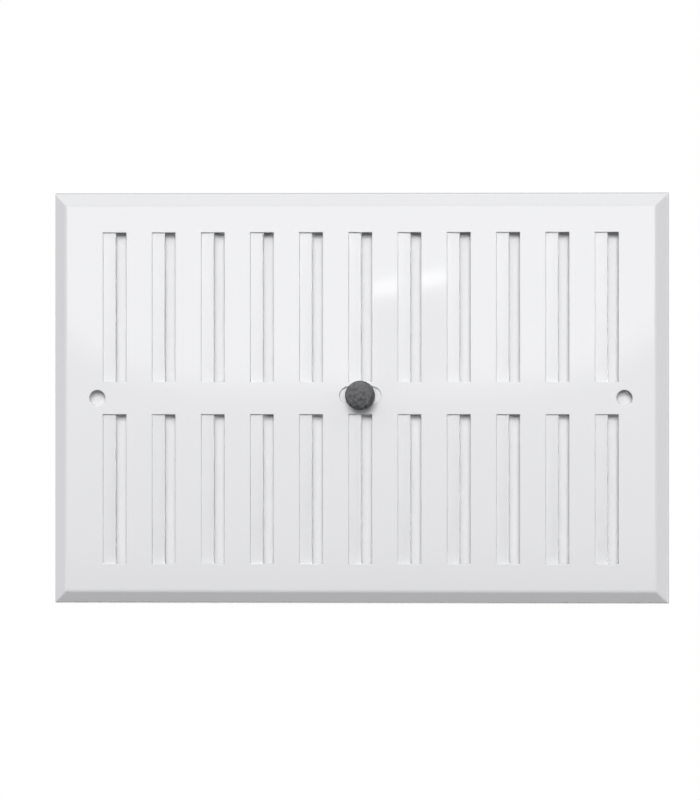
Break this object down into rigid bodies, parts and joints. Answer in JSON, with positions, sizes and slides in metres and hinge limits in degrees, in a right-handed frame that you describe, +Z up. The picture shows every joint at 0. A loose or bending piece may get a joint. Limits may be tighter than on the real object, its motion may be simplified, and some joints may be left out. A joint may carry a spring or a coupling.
{
  "type": "adjustable ventilation grille",
  "caption": "Rectangular bevelled wall ventilation grille with two rows of upright slots and a sliding shutter behind, moved by a small round knob.",
  "frame": {"origin": "centre of the plate on the wall plane (the plane of the plate's back rim)", "axes": "+X to the right seen from the room, along the plate's long side and the shutter's travel; +Y into the wall; +Z up. The front faces -Y."},
  "size_m": [0.229, 0.0201, 0.153],
  "materials": {
    "gloss_white_plastic": "glossy injection-moulded white plastic, very slightly cool",
    "satin_white_plastic": "white plastic, a little less glossy than the face",
    "dark_grey_plastic": "matte dark grey plastic, finely mottled",
    "natural_nylon": "natural off-white nylon",
    "brass": "turned brass",
    "zinc_plated_steel": "bright zinc plate"
  },
  "bodies": {
    "grille_body": {"face_plate": "gloss_white_plastic", "guide_rail_top": "zinc_plated_steel", "guide_rail_bottom": "zinc_plated_steel", "rail_screw_1": "zinc_plated_steel", "rail_screw_2": "zinc_plated_steel", "rail_screw_3": "zinc_plated_steel", "rail_screw_4": "zinc_plated_steel", "rail_screw_5": "zinc_plated_steel", "rail_screw_6": "zinc_plated_steel", "rail_screw_7": "zinc_plated_steel", "rail_screw_8": "zinc_plated_steel", "rail_screw_9": "zinc_plated_steel", "rail_screw_10": "zinc_plated_steel"},
    "shutter": {"shutter_plate": "satin_white_plastic", "knob": "dark_grey_plastic", "knob_insert": "brass", "knob_screw": "zinc_plated_steel", "slide_bush": "natural_nylon", "slip_washer": "natural_nylon", "rear_washer": "zinc_plated_steel", "wave_washer": "zinc_plated_steel"}
  },
  "joints": [
    {"name": "shutter_slide", "type": "slide", "parent": "grille_body", "child": "shutter", "axis": [1, 0, 0], "range_m": [-0.00458, 0.00458]}
  ]
}
